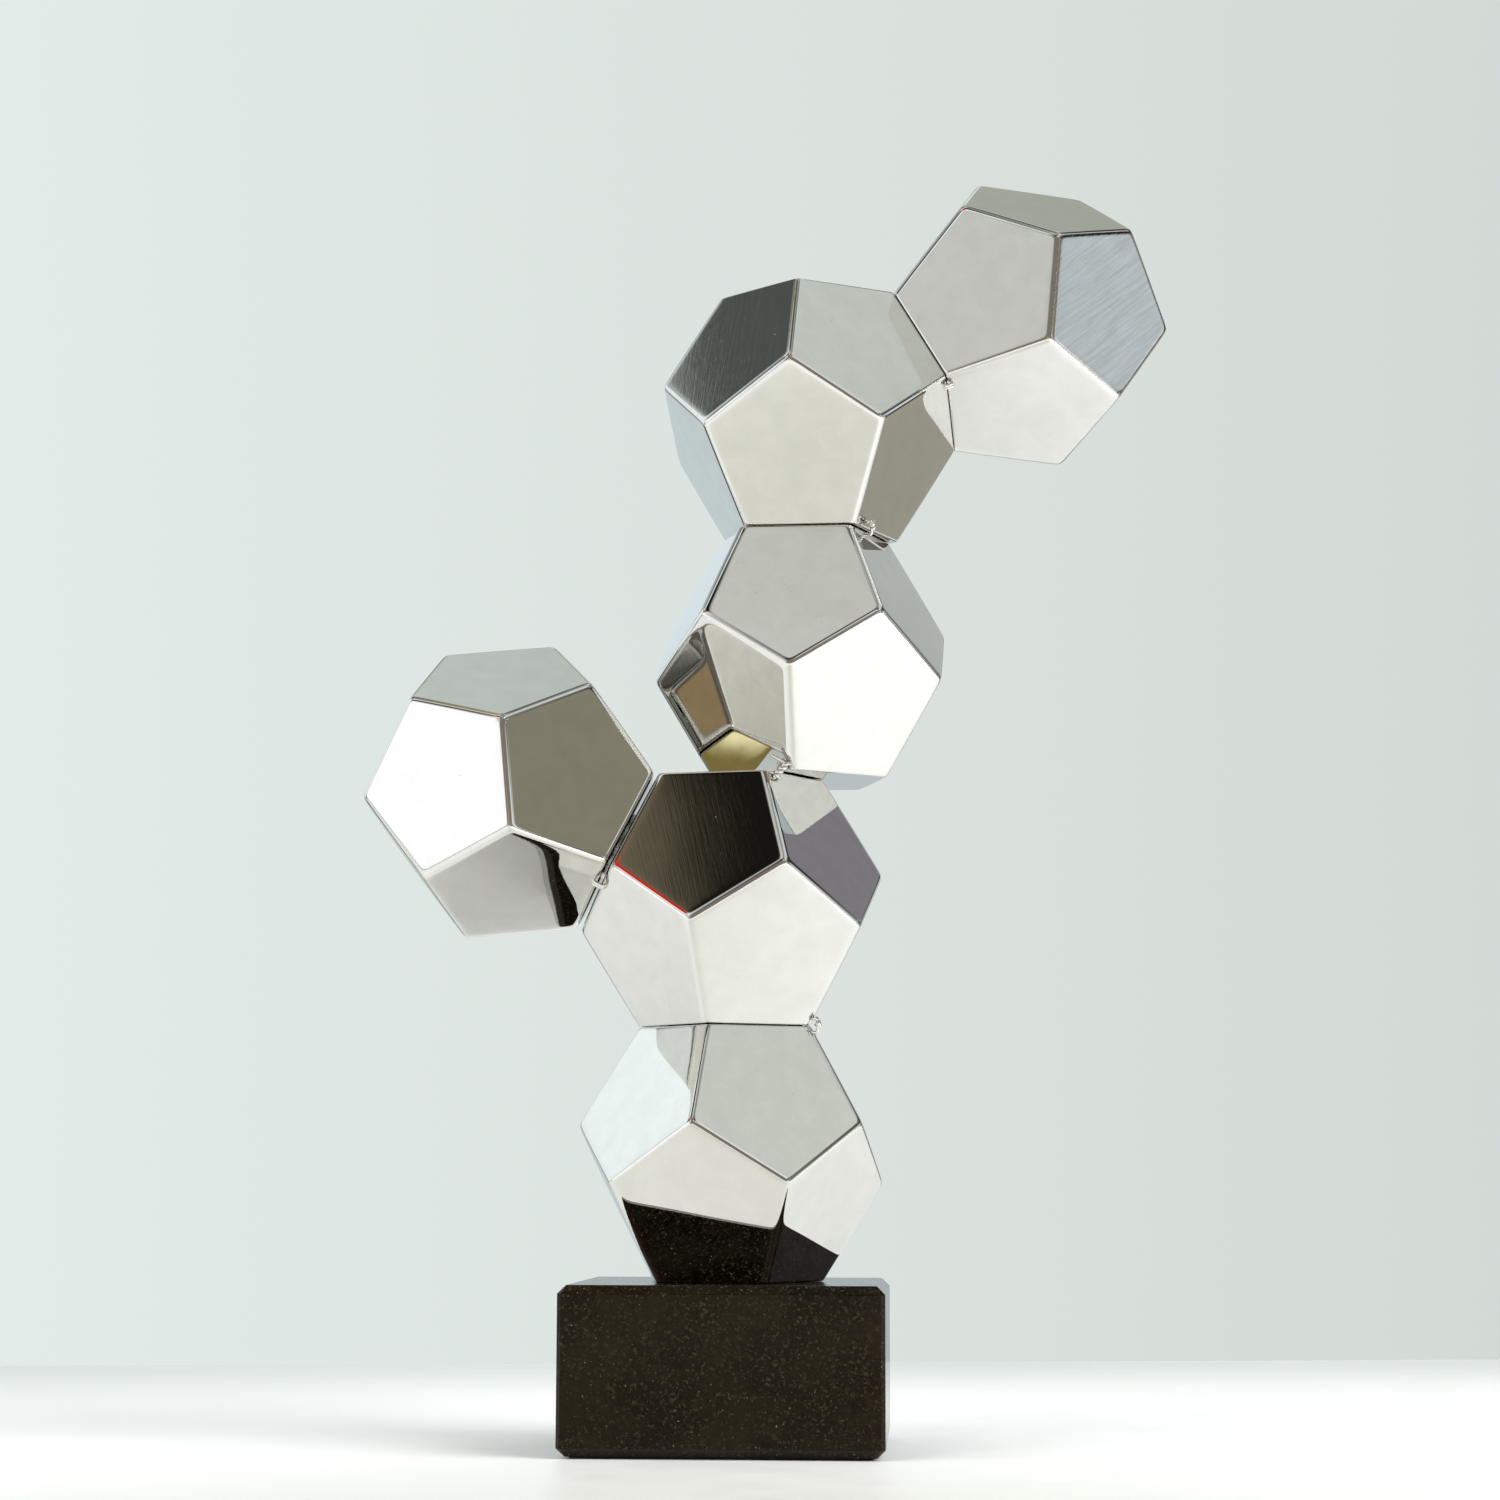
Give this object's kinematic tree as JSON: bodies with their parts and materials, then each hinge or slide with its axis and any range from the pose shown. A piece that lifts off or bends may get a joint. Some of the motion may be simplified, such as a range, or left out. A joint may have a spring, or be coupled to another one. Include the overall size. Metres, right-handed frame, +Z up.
{
  "type": "desk sculpture",
  "caption": "Desk sculpture: hollow polished steel dodecahedra held face to face by magnets and small wire ties, branching upwards from a black granite block.",
  "frame": {"origin": "centre of the flat underside, on the table", "axes": "+Z up; the sides of the granite block are parallel to X and Y; -Y is the front"},
  "size_m": [0.2058, 0.0937, 0.3261],
  "materials": {
    "polished_steel": "hand-buffed mirror polish on ferritic stainless steel sheet",
    "black_granite": "polished, fine-grained",
    "felt": "pressed wool felt",
    "magnet_nickel": "nickel plate",
    "cup_steel": "zinc plate",
    "tie_wire": "bright drawn stainless wire",
    "zinc_steel": "zinc plate"
  },
  "bodies": {
    "base": {"base_block": "black_granite", "felt_pad": "felt", "base_bolt": "zinc_steel", "base_washer": "zinc_steel", "spacer_disc": "zinc_steel", "weld_nut": "zinc_steel", "d1_lower_half": "polished_steel", "d1_upper_half": "polished_steel"},
    "d2": {"d2_lower_half": "polished_steel", "d2_upper_half": "polished_steel", "d2_magnet_cup": "cup_steel", "d2_magnet": "magnet_nickel", "tie_a": "tie_wire"},
    "d3": {"d3_lower_half": "polished_steel", "d3_upper_half": "polished_steel", "d3_magnet_cup": "cup_steel", "d3_magnet": "magnet_nickel", "tie_b": "tie_wire"},
    "d4": {"d4_lower_half": "polished_steel", "d4_upper_half": "polished_steel", "d4_magnet_cup": "cup_steel", "d4_magnet": "magnet_nickel", "tie_c": "tie_wire"},
    "d5": {"d5_lower_half": "polished_steel", "d5_upper_half": "polished_steel", "d5_magnet_cup": "cup_steel", "d5_magnet": "magnet_nickel", "tie_d": "tie_wire"},
    "d6": {"d6_lower_half": "polished_steel", "d6_upper_half": "polished_steel", "d6_magnet_cup": "cup_steel", "d6_magnet": "magnet_nickel", "tie_e": "tie_wire"}
  },
  "joints": [
    {"name": "waist_turn", "type": "hinge", "parent": "base", "child": "d2", "pos_m": [0.0185, -0.01038, 0.10341], "axis": [0, 0, 1], "range_deg": [-25, 25], "deforming": ["tie_a"]},
    {"name": "left_arm_turn", "type": "hinge", "parent": "d2", "child": "d3", "pos_m": [-0.03077, -0.01862, 0.14019], "axis": [-0.89, -0.0888, 0.4472], "range_deg": [-20, 25], "deforming": ["tie_b"]},
    {"name": "neck_turn", "type": "hinge", "parent": "d2", "child": "d4", "pos_m": [0.0119, -0.01392, 0.16626], "axis": [0, 0, 1], "range_deg": [-25, 25], "deforming": ["tie_c"]},
    {"name": "head_turn", "type": "hinge", "parent": "d4", "child": "d5", "pos_m": [0.03046, -0.00821, 0.22912], "axis": [0, 0, 1], "range_deg": [-25, 25], "deforming": ["tie_d"]},
    {"name": "right_arm_turn", "type": "hinge", "parent": "d5", "child": "d6", "pos_m": [0.054, -0.00813, 0.26827], "axis": [0.8729, 0.1951, 0.4472], "range_deg": [-25, 25], "deforming": ["tie_e"]}
  ]
}
